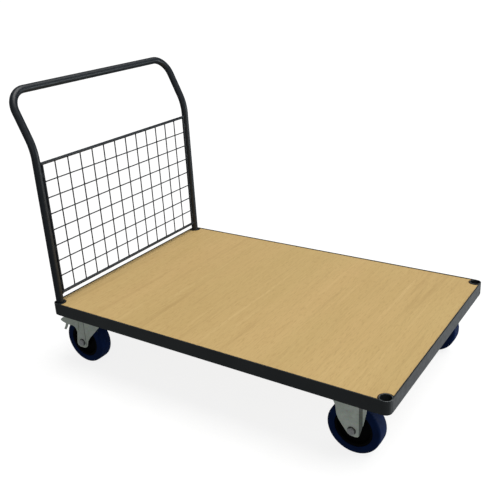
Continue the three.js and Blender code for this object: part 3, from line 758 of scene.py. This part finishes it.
def tyre_profile():
    """Crowned tread, round shoulders, and a moulded step on each side wall."""
    half = [(57.0, 23.8), (57.6, 24.3), (60.6, 24.5), (61.0, 24.2), (61.6, 24.2), (62.0, 24.6),
            (66.0, 25.0), (72.4, 25.0)]
    for k in range(1, 9):
        turn = math.pi / 2 * k / 8
        half.append((72.4 + 7.1 * math.sin(turn), 17.5 + 7.5 * math.cos(turn)))
    half += [(79.7, 12.0), (79.9, 6.0), (80.0, 1.0), (79.8, 0.25)]
    lower = [(r, -y) for r, y in half]
    return [(r * MM, y * MM) for r, y in lower + half[::-1]]


def wheel_profile():
    half = [(8.4, 28.0), (8.8, 28.4), (18.2, 28.4), (19.0, 27.6), (19.6, 12.0), (20.6, 9.6),
            (23.0, 8.4), (44.0, 7.2), (46.6, 7.8), (48.4, 9.8), (49.6, 20.6), (50.6, 22.0),
            (56.0, 22.5), (56.7, 21.9)]
    lower = [(r, -y) for r, y in half]
    return [(r * MM, y * MM) for r, y in lower + half[::-1]]


def add_wheel_ribs(bm, axle, count=10):
    rib = [(18.6, 6.5), (18.6, 23.5), (22.5, 21.2), (46.5, 17.0), (50.2, 17.8), (50.2, 6.5)]
    for face in (-1, 1):
        for k in range(count):
            turn = Matrix.Rotation(TURN * (k + 0.5) / count, 4, "Y")
            flat = Matrix(((1, 0, 0, 0), (0, 0, -1, 0), (0, 1, 0, 0), (0, 0, 0, 1))).inverted()
            where = Matrix.Translation(axle) @ turn @ flat
            outline = [(r * MM, -face * y * MM) for r, y in rib]
            add_prism(bm, outline, -1.4 * MM, 1.4 * MM, where)


def build_wheel(name, wheel_body, bolt_body, axle, side):
    where = turned_on_y(axle)
    bm = bmesh.new()
    add_lathe(bm, tyre_profile(), where, 144)
    piece(f"{name}_tyre_moulded", bm, TYRE, wheel_body, (f"{name}_tyre",), angle=25)

    bm = bmesh.new()
    ribs = bmesh.new()
    add_wheel_ribs(ribs, axle)
    soften(ribs, 0.45 * MM, 2, 50)
    add_lathe(bm, wheel_profile(), where, 96)
    piece(f"{name}_wheel_moulded", bm, NYLON, wheel_body, (f"{name}_wheel_centre",))
    piece(f"{name}_wheel_ribs", ribs, NYLON, wheel_body)
    bm = bmesh.new()
    for face in (-1, 1):
        add_lathe(bm, [(9.2 * MM, face * 28.0 * MM), (16.4 * MM, face * 28.0 * MM),
                       (16.4 * MM, face * 28.8 * MM), (15.6 * MM, face * 29.2 * MM),
                       (10.2 * MM, face * 29.2 * MM), (9.2 * MM, face * 28.6 * MM)], where, 56)
    piece(f"{name}_bearing_caps", bm, BOLT, wheel_body)

    bm = bmesh.new()
    half, inner, outer, soft = 29.7 * MM, 6.3 * MM, 8.0 * MM, 0.4 * MM
    add_lathe(bm, [(inner, -half), (outer - soft, -half), (outer, -half + soft),
                   (outer, half - soft), (outer - soft, half), (inner, half)], where, 40)
    piece(f"{name}_sleeve_turned", bm, BOLT, bolt_body, (f"{name}_axle_sleeve",))

    # the head is outboard, so side +1 is the direction of the head
    out = where if side > 0 else where @ Matrix.Rotation(math.pi, 4, "X")
    bm = bmesh.new()
    leg = LEG_OUTER
    add_hex(bm, HEX_M12, leg + 2.1 * MM, leg + 7.8 * MM, out, flat_low=True)
    add_washer(bm, 0.1 * MM, 9.3 * MM, leg + 1.6 * MM, leg + 2.2 * MM, out)
    add_lathe(
        bm, [(0, -leg), (AXLE_R, -leg), (AXLE_R, leg + 2 * MM), (0, leg + 2 * MM)], out, 32)
    back = out @ Matrix.Rotation(math.pi, 4, "X")
    add_thread(bm, AXLE_R, leg, leg + 13.3 * MM, M12_PITCH, back)
    piece(f"{name}_axle_bolt_turned", bm, BOLT, bolt_body, (f"{name}_axle_bolt",))
    # a wide near-black washer under the head paints the shadow round it
    bm = bmesh.new()
    add_washer(bm, AXLE_HOLE_R, 12.4 * MM, leg, leg + 1.6 * MM, out)
    piece(f"{name}_axle_shadow_washer", bm, PAINTED_SHADOW_STEEL, bolt_body)
    bm = bmesh.new()
    add_washer(bm, AXLE_HOLE_R, 12 * MM, leg, leg + 1.6 * MM, back)
    add_hex(bm, HEX_M12, leg + 1.6 * MM, leg + 8.8 * MM, back, hole=AXLE_HOLE_R)
    add_lathe(bm, [
        (AXLE_HOLE_R, leg + 8.6 * MM), (8.3 * MM, leg + 8.6 * MM), (8.2 * MM, leg + 10.2 * MM),
        (7.4 * MM, leg + 11.2 * MM), (AXLE_HOLE_R, leg + 11.2 * MM)], back, 40)
    piece(f"{name}_axle_nut_turned", bm, BOLT, bolt_body, (f"{name}_axle_nut",))


def build_plate_fixings(name, plate_node):
    """Bolts up through the castor plate, with washers and nuts on the channel's web."""
    low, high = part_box(plate_node)
    middle = (low + high) / 2
    plate = 4 * MM
    web_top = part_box("castor_channel_push")[0].z + plate
    under = high.z - plate
    bm = bmesh.new()
    for i in (-1, 1):
        for j in (-1, 1):
            point = (middle.x + i * 52.5 * MM, middle.y + j * 40 * MM, 0)
            down = Matrix.Translation(point) @ Matrix.Rotation(math.pi, 4, "X")
            add_washer(bm, 4.2 * MM, 8.5 * MM, -under, -under + 1.4 * MM, down)
            add_hex(bm, HEX_M8, -under + 1.4 * MM, -under + 6.6 * MM, down, flat_low=True)
            add_lathe(bm, [(0, under - 2 * MM), (4 * MM, under - 2 * MM), (4 * MM, web_top + 5 * MM),
                           (0, web_top + 5 * MM)], turned_on_z(point), 24)
            up = turned_on_z(point)
            add_washer(bm, 4.2 * MM, 8.5 * MM, web_top, web_top + 1.4 * MM, up)
            add_hex(bm, HEX_M8, web_top + 1.4 * MM, web_top + 7.9 * MM, up, hole=4.1 * MM)
            add_thread(bm, 4 * MM, web_top + 5 * MM, web_top + 12 * MM, M8_PITCH, up, 24)
    piece(f"{name}_plate_bolts", bm, BOLT, "frame")


def build_swivel(word, side):
    name = f"swivel_{word}"
    axle = centre(f"{name}_tyre")
    king = centre(f"{name}_king_bolt")
    build_wheel(name, f"{name}_wheel", name, axle, side)
    build_plate_fixings(name, f"{name}_plate")
    finished(f"{name}_plate", ZINC, "frame", 0.7 * MM)
    finished(f"{name}_fork", ZINC, name, 1.0 * MM, 3)
    on_king = turned_on_z((king.x, king.y, 0))
    crown_top = axle.z + CROWN_HEIGHT

    # the pressed line that each leg is folded along, most of it sunk in the leg; its darkened zinc is
    # painted shade along the fold
    bm = bmesh.new()
    for face in (-1, 1):
        foot = axle + Vector((17 * MM, face * (LEG_OUTER - 0.6 * MM), -13 * MM))
        add_rod(bm, foot, foot + Vector((0, 0, 104 * MM)), 1.3 * MM, 12, 1.0 * MM)
    piece(f"{name}_leg_crease_painted_shade", bm, ZINC_PAINTED_SHADE, name)

    bm = bmesh.new()
    add_lathe(bm, [
        (r * MM, crown_top + h * MM) for r, h in
        [(41.2, -0.5), (46.5, -0.5), (47.2, 0.6), (46.2, 2.0), (45.4, 6.0), (44.4, 8.2),
         (42.6, 8.9), (41.6, 8.4), (42.6, 7.6), (43.4, 6.0), (43.8, 2.4), (43.0, 0.8)]], on_king, 96)
    piece(f"{name}_race_lip", bm, ZINC, name, angle=45)

    bm = bmesh.new()
    balls = 22
    for k in range(balls):
        angle = TURN * k / balls
        spot = Matrix.Translation((
            king.x + 33 * MM * math.cos(angle), king.y + 33 * MM * math.sin(angle), crown_top + 4 * MM))
        bmesh.ops.create_uvsphere(bm, u_segments=14, v_segments=9, radius=3.6 * MM, matrix=spot)
    piece(f"{name}_balls", bm, BOLT, name, (f"{name}_ball_ring",), angle=60)

    low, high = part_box(f"{name}_king_bolt")
    head_low = crown_top + 3 * MM
    bm = bmesh.new()
    add_lathe(bm, [
        (0, head_low), (14 * MM, head_low), (14 * MM, high.z - 2.5 * MM), (12.6 * MM, high.z - 0.8 * MM),
        (9 * MM, high.z), (0, high.z)], on_king, 56)
    add_lathe(bm, [
        (0, low.z + 7 * MM), (AXLE_R, low.z + 7 * MM), (AXLE_R, head_low + 1 * MM),
        (0, head_low + 1 * MM)], on_king, 32)
    down = Matrix.Translation((king.x, king.y, 0)) @ Matrix.Rotation(math.pi, 4, "X")
    add_thread(bm, AXLE_R, -low.z - 9 * MM, -low.z, M12_PITCH, down)
    piece(f"{name}_king_bolt_turned", bm, BOLT, "frame", (f"{name}_king_bolt",))
    low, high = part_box(f"{name}_king_nut")
    bm = bmesh.new()
    add_hex(bm, HEX_M12, low.z, high.z - 1.6 * MM, on_king, hole=AXLE_HOLE_R)
    add_washer(bm, AXLE_HOLE_R, 12 * MM, high.z - 1.6 * MM, high.z, on_king)
    piece(f"{name}_king_nut_turned", bm, BOLT, "frame", (f"{name}_king_nut",))
    build_brake(name, axle)


def build_brake(name, axle):
    body = f"{name}_brake"
    finished(f"{name}_brake_pedal", ZINC, body, 0.8 * MM)
    finished(f"{name}_brake_shoe", RUBBER, body, 0.9 * MM)
    pin = centre(f"{name}_brake_pin")
    where = turned_on_y(pin)
    bm = bmesh.new()
    end, head = 38.1 * MM, 36.3 * MM
    half = [(0, end), (3.2 * MM, end), (5.2 * MM, end - 0.5 * MM), (6.0 * MM, head + 0.2 * MM),
            (5.8 * MM, head), (4 * MM, head)]
    add_lathe(bm, [(r, -y) for r, y in half] + half[::-1], where, 40)
    piece(f"{name}_brake_rivet", bm, BOLT, name, (f"{name}_brake_pin",))

    # torsion springs on the pin, inside the legs, with an arm under the tread plate
    bm = bmesh.new()
    turns, steps, radius = 5, 18, 5.6 * MM
    for face in (-1, 1):
        path = []
        for k in range(turns * steps + 1):
            angle = TURN * k / steps
            y = face * (29.0 - 1.9 * k / steps) * MM
            path.append(pin + Vector((radius * math.cos(angle), y, radius * math.sin(angle))))
        path.append(path[-1] + Vector((2 * MM, 0, 4 * MM)))
        add_rings(bm, tube_rings(bm, path, 0.8 * MM, 8), False, True)
    piece(f"{name}_brake_springs", bm, BOLT, name, angle=60)

    # raised treads across the pedal
    bm = bmesh.new()
    for x, z in ((-46, 89.5), (-54, 87.1), (-62, 84.7), (-70, 82.4)):
        spot = axle + Vector((x * MM, 0, z * MM - 0.6 * MM))
        reach = Vector((0, 29 * MM, 0))
        add_rod(bm, spot - reach, spot + reach, 1.5 * MM, 14, 1.2 * MM)
    piece(f"{name}_pedal_treads", bm, ZINC, body)


def build_fixed(word, side):
    name = f"fixed_{word}"
    axle = centre(f"{name}_tyre")
    build_wheel(name, f"{name}_wheel", "frame", axle, side)
    # the joggle walls, faces turned partly to +X, take the darkened zinc as painted shade, and the rest of
    # the bracket takes the lighter zinc as painted light
    finished(
        f"{name}_bracket", [ZINC_BRACKET_PAINTED_LIGHT, ZINC_PAINTED_SHADE], "frame", 0.6 * MM, 3,
        pick=lambda face: int(abs(face.normal.z) < 0.2 and 0.3 < abs(face.normal.x) < 0.6))
    build_plate_fixings(name, f"{name}_bracket")


# ---------------------------------------------------------------- studio

LENS = 50.536
CAMERA_PLACE = Vector((1.17872, -1.77095, 1.26833))
AZIMUTH = math.radians(34.078)
ELEVATION = math.radians(22.509)
ROLL = math.radians(-3.213)


def add_camera():
    data = bpy.data.cameras.new("photo_view")
    data.sensor_width = 36
    data.lens = LENS
    data.clip_start = 0.05
    data.clip_end = 400
    camera = bpy.data.objects.new("photo_view", data)
    bpy.context.scene.collection.objects.link(camera)
    right = Vector((math.cos(AZIMUTH), math.sin(AZIMUTH), 0))
    back = Vector((
        math.sin(AZIMUTH) * math.cos(ELEVATION),
        -math.cos(AZIMUTH) * math.cos(ELEVATION),
        math.sin(ELEVATION)))
    up = back.cross(right)
    x_axis = right * math.cos(ROLL) + up * math.sin(ROLL)
    y_axis = up * math.cos(ROLL) - right * math.sin(ROLL)
    turn = Matrix((x_axis, y_axis, back)).transposed().to_4x4()
    camera.matrix_world = Matrix.Translation(CAMERA_PLACE) @ turn
    bpy.context.scene.camera = camera


def add_area(name, place, aim, size, power, colour=(1, 1, 1)):
    data = bpy.data.lights.new(name, "AREA")
    data.shape = "RECTANGLE"
    data.size, data.size_y = size
    data.energy = power
    data.color = colour
    light = bpy.data.objects.new(name, data)
    bpy.context.scene.collection.objects.link(light)
    light.location = place
    light.rotation_mode = "QUATERNION"
    light.rotation_quaternion = (Vector(aim) - Vector(place)).to_track_quat("-Z", "Y")
    return light


def build_backdrop():
    """A pale floor under a plain dome, far away all round, which only the camera sees."""
    bm = bmesh.new()
    radius, count, steps = 60, 64, 12
    rings = []
    for k in range(steps + 1):
        rise = math.pi / 2 * k / steps
        around = count if k < steps else 1
        rings.append([
            bm.verts.new((
                radius * math.cos(rise) * math.cos(TURN * i / count),
                radius * math.cos(rise) * math.sin(TURN * i / count),
                radius * math.sin(rise)))
            for i in range(around)
        ])
    add_rings(bm, rings, False)
    for face in bm.faces:
        face.material_index = 1
    bm.faces.new(rings[0])
    mesh = bpy.data.meshes.new("studio_floor")
    bm.to_mesh(mesh)
    bm.free()
    mesh.materials.append(studio_paper("studio_floor", 0.84))
    mesh.materials.append(studio_paper("studio_dome", 1.0))
    floor = bpy.data.objects.new("studio_floor", mesh)
    bpy.context.scene.collection.objects.link(floor)
    floor.visible_diffuse = False
    floor.visible_glossy = False
    floor.visible_shadow = False


def build_studio():
    build_backdrop()

    world = bpy.data.worlds.new("studio")
    world.use_nodes = True
    world.node_tree.nodes["Background"].inputs["Color"].default_value = (0.93, 0.97, 1.0, 1)
    world.node_tree.nodes["Background"].inputs["Strength"].default_value = 0.20
    bpy.context.scene.world = world

    data = bpy.data.lights.new("overhead", "SUN")
    data.energy = 2.70
    data.angle = math.radians(50)
    data.color = (1.0, 0.985, 0.96)
    overhead = bpy.data.objects.new("overhead", data)
    bpy.context.scene.collection.objects.link(overhead)
    overhead.rotation_mode = "QUATERNION"
    overhead.rotation_quaternion = Vector((-0.32, -0.22, -1)).to_track_quat("-Z", "Y")
    add_area("free_end_window", (2.6, 1.7, 0.45), (0.5, -0.1, 0.2), (2.6, 1.2), 40, (0.90, 0.97, 1.0))
    card = add_area("floor_card", (1.35, 0.65, 0.004), (1.35, 0.65, 1), (1.5, 2.0), 4.2, (0.93, 0.96, 1.0))
    card.visible_camera = False
    add_area("front_fill", (2.3, -4.0, 1.6), (0.2, 0, 0.2), (3.5, 2.0), 21)
    bpy.context.scene.view_settings.view_transform = "Standard"


build_rails()
build_sockets()
build_board()
build_frame_welds()
build_board_screws()
build_push_tube()
build_mesh_panel()
for side_word, side_sign in SIDES:
    build_swivel(side_word, side_sign)
    build_fixed(side_word, side_sign)
add_camera()
build_studio()
